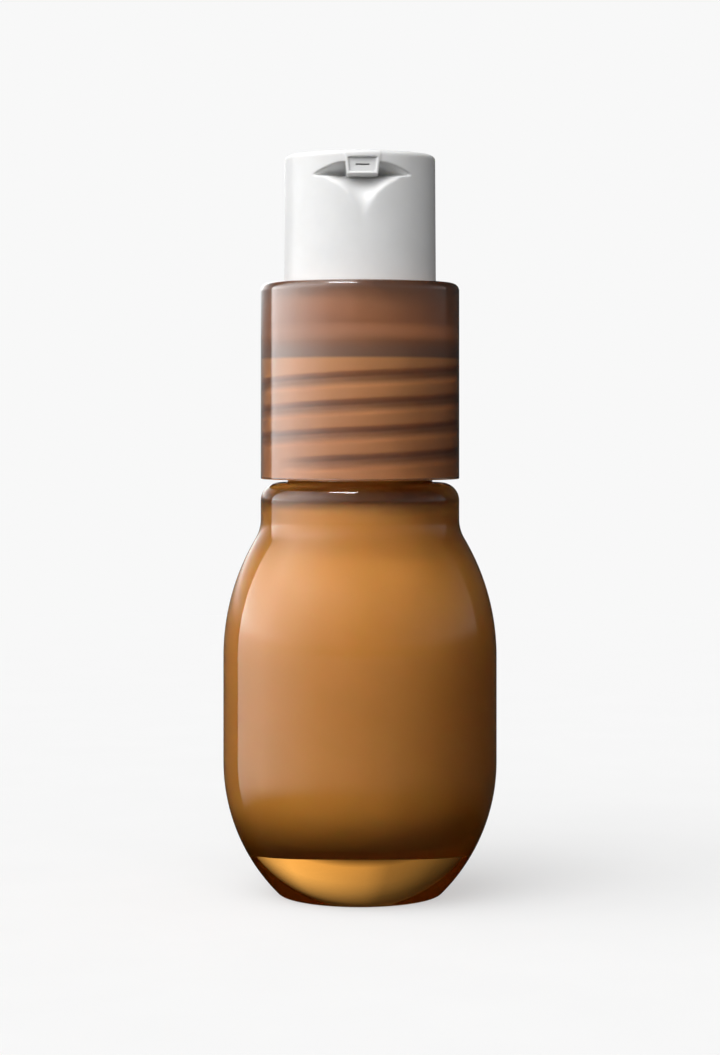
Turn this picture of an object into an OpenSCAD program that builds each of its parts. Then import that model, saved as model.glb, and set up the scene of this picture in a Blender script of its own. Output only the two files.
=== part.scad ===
// Small glass bottle with a screw closure and a lotion pump.
// The bottle axis is Z, the foot stands on Z = 0 and the spout points to -Y.

/* [Bottle outside] */
// Diameter of the straight part of the belly
body_d = 32.2; // [30.5:0.1:34]
// Height of the lower curve, from the foot to the straight belly
base_curve_h = 15.64; // [14.5:0.1:17]
// Radius of the lower curve
base_arc_r = 21.8; // [20.5:0.1:24]
// Height of the straight belly
belly_h = 12.4; // [6:0.1:18]
// Radius of the shoulder curve
shoulder_arc_r = 27.1; // [25:0.1:30]
// Radius of the hollow curve between shoulder and drum
drum_hollow_r = 4.5; // [3.5:0.1:5.5]
// Height of the straight drum under the closure
drum_h = 2.2; // [1:0.1:4]
// Radius of the rounded top edge of the drum
drum_edge_r = 2.1; // [1.5:0.1:2.4]
// Radius of the rounded heel round the foot
heel_r = 0.9; // [0.5:0.1:1.4]
// Inner radius of the foot ring
foot_inner_r = 7.2; // [6:0.1:7.6]
// Depth of the hollow inside the foot ring
push_up_h = 0.8; // [0.4:0.1:1.2]

/* [Bottle inside] */
// Thickness of the glass wall
glass_wall = 3.3; // [2.6:0.1:3.8]
// Thickness of the glass base
glass_base = 7.4; // [6:0.1:8.5]
// Radius of the inner corner round the base
inner_corner_r = 5.5; // [4:0.1:6]
// Diameter of the bore through the neck
neck_bore_d = 12.6; // [12.2:0.1:13]
// Thickness of the glass between the inside of the drum and its top
drum_roof = 2.2; // [1.8:0.1:2.4]
// Radius of the rounded top corner inside the drum
inner_drum_edge_r = 1.6; // [1:0.1:1.8]

/* [Neck and thread] */
// Diameter of the plain neck
neck_d = 17; // [16.8:0.1:17.4]
// Height of the neck above the drum
neck_h = 14.8; // [14:0.1:17]
// Radius of the rounded edge of the lip
lip_edge_r = 0.5; // [0.3:0.1:0.8]
// Rise of the thread for one turn
thread_pitch = 3.175; // [3:0.025:3.4]
// Height of the ridges of both threads
thread_depth = 1.2; // [1:0.05:1.25]
// Half width of the ridge on the neck at its root
neck_ridge_root = 0.75; // [0.65:0.05:0.8]
// Half width of the ridge on the neck at its crest
neck_ridge_crest = 0.35; // [0.25:0.05:0.4]
// Half width of the ridge in the closure at its root
closure_ridge_root = 0.65; // [0.55:0.05:0.75]
// Half width of the ridge in the closure at its crest
closure_ridge_crest = 0.35; // [0.25:0.05:0.4]
// Turns of the thread on the neck
neck_turns = 3; // [2:0.25:3.25]
// Turns of the thread in the closure
closure_turns = 3.5; // [2.5:0.25:3.5]

/* [Closure] */
// Outer diameter of the closure and of the drum below it
closure_d = 23.4; // [22.6:0.1:24.6]
// Gap between the drum and the closure
closure_gap = 0.45; // [0.3:0.05:1]
// Thickness of the web that holds the pump down
web_t = 1.2; // [0.8:0.1:1.6]
// Diameter of the well that the actuator sinks into
well_d = 18.5; // [18.3:0.1:19.3]
// Radius of the rounded top edge
closure_edge_r = 0.85; // [0.4:0.05:1]

/* [Pump] */
// Travel of the actuator
stroke = 4.2; // [3.6:0.1:4.6]
// Travel of the stem before the piston follows
lost_motion = 0.8; // [0.5:0.1:1]
// Bore of the pump cylinder
pump_bore_d = 8; // [7.8:0.1:8.4]
// Wall of the pump cylinder
pump_wall = 0.9; // [0.7:0.05:1]
// Reach of the flange past the housing's upper barrel
flange_rim = 2.8; // [2.4:0.1:3]
// Thickness of the flange
flange_t = 1; // [0.8:0.1:1.4]
// Thickness of the neck gasket
gasket_t = 0.9; // [0.6:0.1:1.2]
// Diameter of the bore that takes the stem guide
guide_bore_d = 9.2; // [9:0.1:9.4]
// Depth of the stem guide below the flange
guide_plug_h = 3.5; // [2.5:0.1:4.5]
// Diameter of the collar that hangs the pump in the closure
guide_collar_d = 12; // [11:0.1:14]
// Thickness of the collar that hangs the pump in the closure
guide_collar_t = 0.8; // [0.6:0.05:1.2]
// Outer diameter of the stem
stem_d = 3.8; // [3.6:0.1:4]
// Bore of the stem
stem_bore_d = 1.8; // [1.4:0.1:2]
// Diameter of the stem's stop collar
stem_collar_d = 6.6; // [5.6:0.1:7]
// Thickness of the stem's stop collar
stem_collar_t = 0.8; // [0.6:0.1:1]
// Length of the stem in the actuator's socket
socket_depth = 2.55; // [2:0.05:3.5]
// Diameter of the piston rod
rod_d = 2.5; // [2.3:0.1:2.6]
// Length of the piston rod inside the stem
rod_grip = 2.4; // [1.5:0.1:3]
// Length of the piston's sleeve
piston_sleeve_h = 3.5; // [3:0.1:4]
// Wire diameter of the return spring
wire_d = 0.6; // [0.5:0.05:0.7]
// Outer diameter of the return spring
spring_d = 5; // [4.8:0.1:5.4]
// Length of the return spring at rest
spring_h = 10.4; // [9.8:0.1:12]
// Coils of the return spring
spring_turns = 7; // [6:0.5:7]
// Diameter of the inlet ball
ball_d = 2.8; // [2.6:0.1:3]
// Lift of the inlet ball off its seat
ball_lift = 0.8; // [0.4:0.1:1]
// Outer diameter of the dip tube
tube_d = 3; // [2.8:0.1:3.2]
// Wall of the dip tube
tube_wall = 0.5; // [0.4:0.05:0.6]
// Height of the dip tube's end above the inside of the base
tube_lift = 1; // [0.5:0.1:3]
// Angle of the slanting cut at the dip tube's end
tube_cut = 35; // [0:1:45]

/* [Actuator] */
// Diameter of the cap at its mouth
cap_d = 17.9; // [17.5:0.05:18]
// Height of the cap
cap_h = 16.2; // [15.5:0.1:18]
// Inward slope of the cap's side over its height
cap_draft = 0.09; // [0:0.01:0.2]
// Wall of the cap
cap_wall = 0.85; // [0.7:0.05:1]
// Radius of the cap's rounded top edge
cap_edge_r = 0.5; // [0.3:0.05:0.8]
// Length of the cap's skirt inside the closure
cap_overlap = 1.2; // [0.6:0.1:2]
// Radius of the flared side of the scoop below the spout
scoop_arc_r = 4.6; // [4:0.1:5]
// Radius of the scoop at its lower end
scoop_throat_r = 1.6; // [1.2:0.1:2]
// Radius of the domed roof of the scoop
scoop_dome_r = 12.6; // [11.5:0.1:14]
// Thickness of the cap above the scoop
scoop_lip = 1.1; // [0.9:0.05:1.4]
// Width of the spout at the top
spout_top_w = 4.4; // [4:0.1:5]
// Width of the spout at its lower edge
spout_low_w = 3.6; // [3.2:0.1:4]
// Height of the spout
spout_h = 2.95; // [2.7:0.05:3.1]
// Height of the spout's mouth
mouth_h = 1.6; // [1.4:0.05:1.7]
// Width of the spout's mouth at the top
mouth_top_w = 3.3; // [3.1:0.1:3.6]
// Width of the spout's mouth at its lower edge
mouth_low_w = 3; // [2.8:0.1:3.1]
// Depth of the nozzle's face behind the spout's front
mouth_depth = 0.45; // [0.2:0.05:1]

/* [Fits] */
// Gap between the two threads on the flanks that bear
thread_gap = 0.1; // [0.06:0.01:0.16]
// Running gap between the stem and its guide and socket
stem_fit = 0.03; // [0.02:0.01:0.06]
// Running gap of the piston in the cylinder and on the rod
piston_fit = 0.03; // [0.02:0.01:0.05]
// Gap between pieces that are pushed together
press_gap = 0.02; // [0.01:0.01:0.04]
// Running gap between the closure's web and the stem guide
web_fit = 0.1; // [0.06:0.01:0.2]
// Gap left under the cap and the socket at the end of the stroke
stop_gap = 0.12; // [0.08:0.01:0.2]

/* [Hidden] */
$fn = 96;

amber_glass = [0.66, 0.38, 0.13, 0.75];
amber_resin = [0.60, 0.36, 0.22, 0.85];
white_plastic = [0.95, 0.95, 0.94];
natural_plastic = [0.88, 0.88, 0.84];
pale_foam = [0.80, 0.80, 0.78];
spring_steel = [0.62, 0.63, 0.65];

// One overrun for every cut that passes through a face
overrun = 1;
// Steps per unit of length that places in a section are rounded to
snap_steps = 1000;

// Bottle, outside
body_r = body_d / 2;
drum_r = closure_d / 2;
base_centre_r = body_r - base_arc_r;
heel_centre_r = base_centre_r + sqrt(pow(base_arc_r - heel_r, 2) - pow(base_curve_h - heel_r, 2));
heel_top_z = base_curve_h - (base_curve_h - heel_r) * base_arc_r / (base_arc_r - heel_r);
shoulder_z = base_curve_h + belly_h;
shoulder_centre_r = body_r - shoulder_arc_r;
hollow_centre_r = drum_r + drum_hollow_r;
hollow_rise = sqrt(pow(shoulder_arc_r + drum_hollow_r, 2) - pow(hollow_centre_r - shoulder_centre_r, 2));
hollow_z = shoulder_z + hollow_rise;
hollow_start_z = shoulder_z + hollow_rise * shoulder_arc_r / (shoulder_arc_r + drum_hollow_r);
drum_edge_z = hollow_z + drum_h;
drum_top_z = drum_edge_z + drum_edge_r;
push_up_arc_r = (pow(foot_inner_r, 2) + pow(push_up_h, 2)) / (2 * push_up_h);

// Bottle, inside
inner_r = body_r - glass_wall;
bore_r = neck_bore_d / 2;
inner_base_arc_r = base_arc_r - glass_wall;
inner_shoulder_arc_r = shoulder_arc_r - glass_wall;
corner_z = glass_base + inner_corner_r;
corner_centre_r = base_centre_r
    + sqrt(pow(inner_base_arc_r - inner_corner_r, 2) - pow(base_curve_h - corner_z, 2));
corner_top_z = base_curve_h
    - (base_curve_h - corner_z) * inner_base_arc_r / (inner_base_arc_r - inner_corner_r);
inner_hollow_r = drum_hollow_r + glass_wall;
inner_hollow_start_z = shoulder_z + hollow_rise * inner_shoulder_arc_r / (shoulder_arc_r + drum_hollow_r);
inner_drum_r = drum_r - glass_wall;
inner_drum_top_z = drum_top_z - drum_roof;

// Neck and threads
neck_r = neck_d / 2;
lip_z = drum_top_z + neck_h;
ridge_rings = 30;
ridge_embed = 0.2;
ridge_fade = 40;
ridge_end_share = 0.1;
closure_z = drum_top_z + closure_gap;
closure_bore_r = neck_r + thread_depth + thread_gap * 3;
closure_crest_r = closure_bore_r - thread_depth;
thread_seat = closure_ridge_crest + thread_gap
    + neck_ridge_root - (neck_ridge_root - neck_ridge_crest) * (closure_crest_r - neck_r) / thread_depth;
closure_thread_inset = 1.6;
closure_front_inset = 2.15;
closure_thread_z = closure_z + closure_thread_inset;
closure_front_z = closure_z + closure_front_inset;
neck_thread_inset = 1.7;
neck_thread_z = lip_z - neck_thread_inset - neck_turns * thread_pitch;

// Closure
flange_z = lip_z + gasket_t;
flange_top_z = flange_z + flange_t;
web_z = flange_top_z + press_gap;
web_top_z = web_z + web_t;
cap_z = web_top_z + stroke + stop_gap;
closure_top_z = cap_z + cap_overlap;
well_chamfer = 0.3;
collar_chamfer = 0.3;

// Pump
pump_bore_r = pump_bore_d / 2;
guide_z = flange_top_z - guide_plug_h;
guide_bore_r = guide_bore_d / 2;
guide_r = guide_bore_r - press_gap;
guide_collar_z = web_top_z + press_gap;
guide_top_z = guide_collar_z + guide_collar_t;
stem_r = stem_d / 2;
socket_z = guide_top_z + stroke + stop_gap;
stem_top_z = socket_z + socket_depth;
stem_tail_h = 0.8;
stem_collar_z = guide_z - stem_collar_t;
stem_z = stem_collar_z - stem_tail_h;
rod_r = rod_d / 2;
rod_bore_r = rod_r + press_gap;
rod_flat_depth = 0.35;
piston_top_z = stem_z - lost_motion;
piston_z = piston_top_z - piston_sleeve_h;
piston_r = pump_bore_r - piston_fit;
piston_lip_t = 0.45;
piston_lip_lean = 0.12;
piston_web_t = 0.8;
piston_lip_gap = 0.3;
piston_lip_z = piston_z + piston_lip_gap;
piston_lip_top_z = stem_collar_z - lost_motion - piston_lip_gap;
sleeve_r = stem_r;
seat_disc_r = 2.4;
seat_disc_t = 0.8;
seat_disc_z = piston_z - press_gap - seat_disc_t;
rod_spigot_r = spring_d / 2 - wire_d - 0.3 * wire_d;
rod_spigot_h = 2.5;
spring_z = seat_disc_z - spring_h;
spring_end_share = 0.35;
spring_sides = 6;
spring_rings = 20;
cage_t = 0.9;
cage_hole_r = 1.25;
cage_gap = 0.08;
chamber_gap = 0.35;
ball_r = ball_d / 2;
chamber_r = ball_r + chamber_gap;
chamber_top_z = spring_z - cage_t;
ball_z = chamber_top_z - sqrt(pow(ball_r, 2) - pow(cage_hole_r, 2)) - cage_gap - ball_lift;
inlet_r = 0.9;
seat_z = ball_z + inlet_r - sqrt(2) * (ball_r + press_gap);
inlet_h = 1.2;
tube_r = tube_d / 2;
tube_bore_r = tube_r - tube_wall;
tube_top_z = seat_z - inlet_h;
tube_socket_h = 5;
tube_socket_wall = 0.8;
tube_end_z = glass_base + tube_lift;
vent_r = 0.45;
vent_drop = 1.4;
barrel_r = guide_bore_r + pump_wall;
flange_r = barrel_r + flange_rim;
cylinder_r = pump_bore_r + pump_wall;

// Actuator
cap_r = cap_d / 2;
cap_top_r = cap_r - cap_draft;
cap_top_z = cap_z + cap_h;
cap_roof_t = 0.9;
cap_inner_r = cap_r - cap_wall;
cap_inner_top_r = cap_top_r - cap_wall;
cap_roof_z = cap_top_z - cap_roof_t;
scoop_bite = 0.05;
scoop_y = -(cap_top_r + scoop_throat_r - scoop_bite);
scoop_dome_z = cap_top_z - scoop_lip - scoop_dome_r;
scoop_r = scoop_throat_r + scoop_arc_r;
scoop_rim_z = scoop_dome_z + sqrt(pow(scoop_dome_r, 2) - pow(scoop_r, 2));
scoop_z = scoop_rim_z - scoop_arc_r;
scoop_cusp = 0.05;
spout_proud = 0.1;
spout_root_y = scoop_y + scoop_r;
spout_z = cap_top_z - spout_h;
mouth_z = spout_z + (spout_h - mouth_h) / 3;
mouth_fit = 0.05;
core_r = 2.6;
core_bore_r = stem_r + stem_fit;
duct_z = mouth_z + mouth_fit;
duct_h = mouth_h - 2 * mouth_fit;
duct_top_w = mouth_top_w - 2 * mouth_fit;
duct_low_w = mouth_low_w - 2 * mouth_fit;
duct_front_y = -(cap_top_r + spout_proud - mouth_depth);
duct_bore_r = 0.45;
slit_w = 1.6;
slit_h = 0.16;
slit_depth = 1.5;
fin_t = 0.8;
fin_drop = 3;
fin_h = 7;
fin_angles = [50, 90, 130];

// Rounds a place to a fine step, so that neighbouring slabs meet in exactly the same edge
function snap(place) = round(place * snap_steps) / snap_steps;

// A ring between two radii, as a half section
module ring(r0, r1, z0, z1) {
    translate([snap(r0), snap(z0)]) square([snap(r1) - snap(r0), snap(z1) - snap(z0)]);
}

// A disc from the axis out to r, as a half section
module slab(r, z0, z1) {
    ring(0, r, z0, z1);
}

// The part of a half section inside an arc, between two heights
module bulge(centre_r, centre_z, arc_r, z0, z1) {
    intersection() {
        translate([centre_r, centre_z]) circle(arc_r);
        slab(centre_r + arc_r + overrun, z0, z1);
    }
}

// A slab with an arc bitten out of its edge
module waist(r, centre_r, centre_z, arc_r, z0, z1) {
    difference() {
        slab(r, z0, z1);
        translate([centre_r, centre_z]) circle(arc_r);
    }
}

// A slab whose upper outer edge is rounded
module rounded_top(r, edge_r, z0, z1) {
    slab(r, z0, z1 - edge_r);
    slab(r - edge_r, z1 - edge_r, z1);
    intersection() {
        translate([snap(r - edge_r), snap(z1 - edge_r)]) circle(edge_r);
        ring(r - edge_r, r + overrun, z1 - edge_r, z1 + overrun);
    }
}

// Faces of a tube swept through rings of points, turned over for a ridge that points inward
function swept_faces(rings, sides, inward) =
    let (
        last = (rings - 1) * sides,
        start = [for (j = [0 : sides - 1]) inward ? j : sides - 1 - j],
        end = [for (j = [0 : sides - 1]) last + (inward ? sides - 1 - j : j)],
        walls = [for (i = [0 : rings - 2], j = [0 : sides - 1])
            let (a = i * sides + j, b = i * sides + (j + 1) % sides)
            each inward ? [[a, b + sides, b], [a, a + sides, b + sides]]
                        : [[a, b, b + sides], [a, b + sides, a + sides]]]
    )
    concat([start], walls, [end]);

// Turn at which a thread that crosses the front at front_z reaches height z
function thread_angle(z, front_z) = -90 + 360 * (z - front_z) / thread_pitch;

// Share of the full ridge height, which fades out at both ends
function fade(turned, whole) = max(ridge_end_share, min(1, turned / ridge_fade, (whole - turned) / ridge_fade));

// A screw ridge on a wall of radius wall_r, pointing outward or inward
module thread_ridge(wall_r, depth, root_half, crest_half, z0, front_z, turns) {
    side = depth > 0 ? 1 : -1;
    root_r = wall_r - side * ridge_embed;
    steps = ceil(turns * ridge_rings);
    whole = 360 * turns;
    a0 = thread_angle(z0, front_z);
    points = [for (i = [0 : steps])
        let (
            turned = whole * i / steps,
            z = z0 + thread_pitch * turned / 360,
            crest_r = wall_r + depth * fade(turned, whole)
        )
        each [for (p = [[root_r, -root_half], [crest_r, -crest_half], [crest_r, crest_half], [root_r, root_half]])
            [p[0] * cos(a0 + turned), p[0] * sin(a0 + turned), z + p[1]]]];
    polyhedron(points, swept_faces(steps + 1, 4, depth < 0));
}

module bottle_outline() {
    slab(heel_centre_r, 0, heel_top_z);
    intersection() {
        translate([snap(heel_centre_r), heel_r]) circle(heel_r);
        ring(heel_centre_r, heel_centre_r + heel_r, 0, heel_top_z);
    }
    bulge(base_centre_r, base_curve_h, base_arc_r, heel_top_z, base_curve_h);
    slab(body_r, base_curve_h, shoulder_z);
    bulge(shoulder_centre_r, shoulder_z, shoulder_arc_r, shoulder_z, hollow_start_z);
    waist(hollow_centre_r, hollow_centre_r, hollow_z, drum_hollow_r, hollow_start_z, hollow_z);
    rounded_top(drum_r, drum_edge_r, hollow_z, drum_top_z);
    rounded_top(neck_r, lip_edge_r, drum_top_z, lip_z);
}

module bottle_cavity() {
    slab(corner_centre_r, glass_base, corner_top_z);
    intersection() {
        translate([snap(corner_centre_r), corner_z]) circle(inner_corner_r);
        ring(corner_centre_r, corner_centre_r + inner_corner_r, glass_base, corner_top_z);
    }
    bulge(base_centre_r, base_curve_h, inner_base_arc_r, corner_top_z, base_curve_h);
    slab(inner_r, base_curve_h, shoulder_z);
    bulge(shoulder_centre_r, shoulder_z, inner_shoulder_arc_r, shoulder_z, inner_hollow_start_z);
    waist(hollow_centre_r, hollow_centre_r, hollow_z, inner_hollow_r, inner_hollow_start_z, hollow_z);
    rounded_top(inner_drum_r, inner_drum_edge_r, hollow_z, inner_drum_top_z);
    slab(bore_r, inner_drum_top_z, lip_z + overrun);
}

module push_up() {
    bulge(0, push_up_h - push_up_arc_r, push_up_arc_r, -overrun, push_up_h + overrun);
}

module bottle() {
    color(amber_glass) {
        rotate_extrude() difference() {
            bottle_outline();
            bottle_cavity();
            push_up();
        }
        thread_ridge(neck_r, thread_depth, neck_ridge_root, neck_ridge_crest,
                     neck_thread_z, closure_front_z + thread_seat, neck_turns);
    }
}

module closure() {
    color(amber_resin) {
        rotate_extrude() difference() {
            rounded_top(drum_r, closure_edge_r, closure_z, closure_top_z);
            slab(closure_bore_r, closure_z - overrun, web_z);
            slab(guide_r + web_fit, web_z - overrun, web_top_z + overrun);
            slab(well_d / 2, web_top_z, closure_top_z + overrun);
            translate([well_d / 2, closure_top_z]) rotate(45) square(well_chamfer * sqrt(2), center = true);
        }
        thread_ridge(closure_bore_r, -thread_depth, closure_ridge_root, closure_ridge_crest,
                     closure_thread_z, closure_front_z, closure_turns);
    }
}

module neck_gasket() {
    color(pale_foam) rotate_extrude() ring(barrel_r + press_gap, flange_r, lip_z, flange_z);
}

module pump_housing_section() {
    ring(guide_bore_r, flange_r, flange_z, flange_top_z);
    ring(guide_bore_r, barrel_r, guide_z, flange_z);
    ring(pump_bore_r, barrel_r, guide_z - pump_wall, guide_z);
    ring(pump_bore_r, cylinder_r, spring_z, guide_z - pump_wall);
    ring(cage_hole_r, cylinder_r, chamber_top_z, spring_z);
    ring(chamber_r, chamber_r + pump_wall, seat_z + chamber_r - inlet_r, chamber_top_z);
    polygon([
        [inlet_r, snap(seat_z)],
        [chamber_r + pump_wall, snap(seat_z)],
        [chamber_r + pump_wall, snap(seat_z + chamber_r - inlet_r)],
        [chamber_r, snap(seat_z + chamber_r - inlet_r)]
    ]);
    ring(inlet_r, chamber_r + pump_wall, tube_top_z, seat_z);
    ring(tube_r + press_gap, tube_r + tube_socket_wall, tube_top_z - tube_socket_h, tube_top_z);
}

module pump_housing() {
    color(natural_plastic) difference() {
        rotate_extrude() pump_housing_section();
        translate([0, 0, guide_z - vent_drop - pump_wall]) rotate([0, 90, 0]) cylinder(r = vent_r, h = barrel_r);
    }
}

module stem_guide() {
    color(white_plastic) rotate_extrude() {
        ring(stem_r + stem_fit, guide_r, guide_z, guide_collar_z);
        difference() {
            ring(stem_r + stem_fit, guide_collar_d / 2, guide_collar_z, guide_top_z);
            translate([guide_collar_d / 2, guide_top_z]) rotate(45) square(collar_chamfer * sqrt(2), center = true);
        }
    }
}

module stem() {
    color(natural_plastic) rotate_extrude() {
        ring(rod_bore_r, stem_r, stem_z, stem_collar_z);
        ring(rod_bore_r, stem_collar_d / 2, stem_collar_z, guide_z);
        ring(rod_bore_r, stem_r, guide_z, stem_z + rod_grip + overrun);
        ring(stem_bore_d / 2, stem_r, stem_z + rod_grip + overrun, stem_top_z);
    }
}

module piston_rod() {
    color(white_plastic) {
        rotate_extrude() {
            rounded_top(seat_disc_r, seat_disc_t / 4, seat_disc_z, seat_disc_z + seat_disc_t);
            slab(rod_spigot_r, seat_disc_z - rod_spigot_h, seat_disc_z);
        }
        difference() {
            translate([0, 0, seat_disc_z]) cylinder(r = rod_r, h = stem_z + rod_grip - seat_disc_z);
            for (turn = [0, 180])
                rotate(turn) translate([rod_r - rod_flat_depth, -rod_r, piston_z + lost_motion])
                    cube([rod_r, rod_d, stem_z + rod_grip - piston_z]);
        }
    }
}

// One sealing lip of the piston between two heights, with its outer radius at each
module piston_lip(z0, z1, r0, r1) {
    polygon([
        [r0 - piston_lip_t, snap(z0)],
        [r0, snap(z0)],
        [r1, snap(z1)],
        [r1 - piston_lip_t, snap(z1)]
    ]);
}

module piston() {
    web_z0 = (piston_lip_z + piston_lip_top_z - piston_web_t) / 2;
    color(white_plastic) rotate_extrude() {
        ring(rod_r + piston_fit, sleeve_r, piston_z, piston_top_z);
        ring(sleeve_r, piston_r - piston_lip_lean, web_z0, web_z0 + piston_web_t);
        piston_lip(web_z0 + piston_web_t, piston_lip_top_z, piston_r - piston_lip_lean, piston_r);
        piston_lip(piston_lip_z, web_z0, piston_r, piston_r - piston_lip_lean);
    }
}

// Height of the spring's centre line: the first and last half turns rise less
function spring_rise(turned) =
    let (
        lift = spring_h - wire_d,
        end_rise = spring_end_share * lift / spring_turns / 2,
        mid = (lift - 2 * end_rise) / (spring_turns - 1)
    )
    turned < 0.5 ? turned * 2 * end_rise
    : turned > spring_turns - 0.5 ? lift - (spring_turns - turned) * 2 * end_rise
    : end_rise + (turned - 0.5) * mid;

module return_spring() {
    coil_r = (spring_d - wire_d) / 2;
    steps = ceil(spring_turns * spring_rings);
    points = [for (i = [0 : steps])
        let (turned = spring_turns * i / steps, z = spring_z + wire_d / 2 + spring_rise(turned))
        each [for (s = [0 : spring_sides - 1])
            let (b = 360 * (s + 0.5) / spring_sides, r = coil_r + wire_d / 2 * cos(b))
            [r * cos(360 * turned), r * sin(360 * turned), z + wire_d / 2 * sin(b)]]];
    gaps = [for (turned = [0 : 0.05 : spring_turns - 1]) spring_rise(turned + 1) - spring_rise(turned) - wire_d];
    echo(least_gap_between_coils = min(gaps));
    color(spring_steel) polyhedron(points, swept_faces(steps + 1, spring_sides, false));
}

module inlet_ball() {
    color(spring_steel) translate([0, 0, ball_z]) sphere(ball_r);
}

module dip_tube() {
    color(natural_plastic) difference() {
        rotate_extrude() ring(tube_bore_r, tube_r, tube_end_z, tube_top_z);
        translate([-tube_r, 0, tube_end_z]) rotate([0, -tube_cut, 0]) translate([-tube_d, -tube_d, -tube_d])
            cube([tube_d * 3, tube_d * 2, tube_d]);
    }
}

// The trumpet-shaped scoop below the spout, grown by the wall for its inner side
module scoop_section(grow) {
    arc_r = scoop_arc_r - grow;
    top_z = scoop_z + arc_r - scoop_cusp;
    waist(scoop_r, scoop_r, scoop_z, arc_r, scoop_z, top_z);
    bulge(0, scoop_dome_z, scoop_dome_r, top_z, cap_top_z - scoop_lip);
}

module scoop() {
    translate([0, scoop_y, 0]) rotate_extrude() intersection() {
        scoop_section(0);
        slab(scoop_r, scoop_z, cap_top_z);
    }
}

module scoop_wall() {
    arc_r = scoop_arc_r - cap_wall;
    top_z = scoop_z + arc_r - scoop_cusp;
    translate([0, scoop_y, 0]) rotate_extrude() {
        waist(scoop_r, scoop_r, scoop_z, arc_r, scoop_z, top_z);
        slab(scoop_r + cap_wall, top_z, cap_roof_z + overrun);
    }
}

// A block along Y whose end face is narrower at the bottom
module tapered_bar(top_w, low_w, h, z0, y0, y1) {
    translate([0, y1, z0]) rotate([90, 0, 0]) linear_extrude(y1 - y0)
        polygon([[-low_w / 2, 0], [low_w / 2, 0], [top_w / 2, h], [-top_w / 2, h]]);
}

module cap_outline(grow) {
    intersection() {
        polygon([[0, cap_z], [cap_r + grow, cap_z], [cap_top_r + grow, cap_top_z], [0, cap_top_z]]);
        rounded_top(cap_r + grow, cap_edge_r + cap_draft, cap_z, cap_top_z);
    }
}

module actuator_cap() {
    color(white_plastic) difference() {
        union() {
            difference() {
                rotate_extrude() cap_outline(0);
                difference() {
                    rotate_extrude() polygon([[0, cap_z - overrun], [cap_inner_r, cap_z - overrun],
                                              [cap_inner_top_r, cap_roof_z], [0, cap_roof_z]]);
                    scoop_wall();
                }
                scoop();
            }
            intersection() {
                rotate_extrude() cap_outline(spout_proud);
                tapered_bar(spout_top_w, spout_low_w, spout_h, spout_z, -cap_d, spout_root_y);
            }
        }
        tapered_bar(mouth_top_w, mouth_low_w, mouth_h, mouth_z, -cap_d, spout_root_y + cap_wall + overrun);
    }
}

module nozzle_core() {
    duct_mid_z = duct_z + duct_h / 2;
    color(white_plastic) difference() {
        union() {
            translate([0, 0, socket_z]) cylinder(r = core_r, h = duct_z + duct_h - socket_z);
            tapered_bar(duct_top_w, duct_low_w, duct_h, duct_z, duct_front_y, 0);
            for (turn = fin_angles)
                rotate(turn) translate([0, -fin_t / 2, cap_roof_z - fin_drop - fin_h])
                    cube([cap_inner_top_r - press_gap, fin_t, fin_h]);
        }
        translate([0, 0, socket_z - overrun]) cylinder(r = core_bore_r, h = overrun + socket_depth + press_gap);
        translate([0, 0, socket_z]) cylinder(r = stem_bore_d / 2, h = duct_mid_z - socket_z);
        translate([0, 0, duct_mid_z]) rotate([90, 0, 0]) cylinder(r = duct_bore_r, h = -duct_front_y - slit_depth / 2);
        translate([-slit_w / 2, duct_front_y - overrun, duct_mid_z - slit_h / 2])
            cube([slit_w, overrun + slit_depth, slit_h]);
    }
}

bottle();
closure();
neck_gasket();
pump_housing();
stem_guide();
stem();
piston_rod();
piston();
return_spring();
inlet_ball();
dip_tube();
actuator_cap();
nozzle_core();
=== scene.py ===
"""Looks of the lotion bottle: smooth lathed glass and resin, lotion inside, satin pump head, studio light.

Lengths are in millimetres, and MM turns them into metres. The bottle's axis is Z and the spout points to -Y.
An outline is a half section: points of a radius and a height, which the lathe turns round Z.
"""

import bpy
import math
import numpy as np
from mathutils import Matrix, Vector

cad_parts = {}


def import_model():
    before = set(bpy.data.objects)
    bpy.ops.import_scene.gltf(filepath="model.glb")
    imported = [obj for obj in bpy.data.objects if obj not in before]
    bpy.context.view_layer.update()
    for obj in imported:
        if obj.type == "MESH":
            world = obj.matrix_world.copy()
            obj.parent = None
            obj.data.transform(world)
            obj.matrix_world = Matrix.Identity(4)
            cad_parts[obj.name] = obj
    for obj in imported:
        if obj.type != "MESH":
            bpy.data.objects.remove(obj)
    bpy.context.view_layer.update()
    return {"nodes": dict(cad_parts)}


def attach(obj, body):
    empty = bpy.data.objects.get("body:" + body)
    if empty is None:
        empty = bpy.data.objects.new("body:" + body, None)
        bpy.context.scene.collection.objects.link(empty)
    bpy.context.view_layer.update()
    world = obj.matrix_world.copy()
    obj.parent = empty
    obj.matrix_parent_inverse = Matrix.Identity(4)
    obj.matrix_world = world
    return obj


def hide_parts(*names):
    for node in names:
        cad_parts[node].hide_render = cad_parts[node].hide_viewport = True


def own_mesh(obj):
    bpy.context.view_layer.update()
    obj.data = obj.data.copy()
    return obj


MM = 0.001
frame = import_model()

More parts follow.
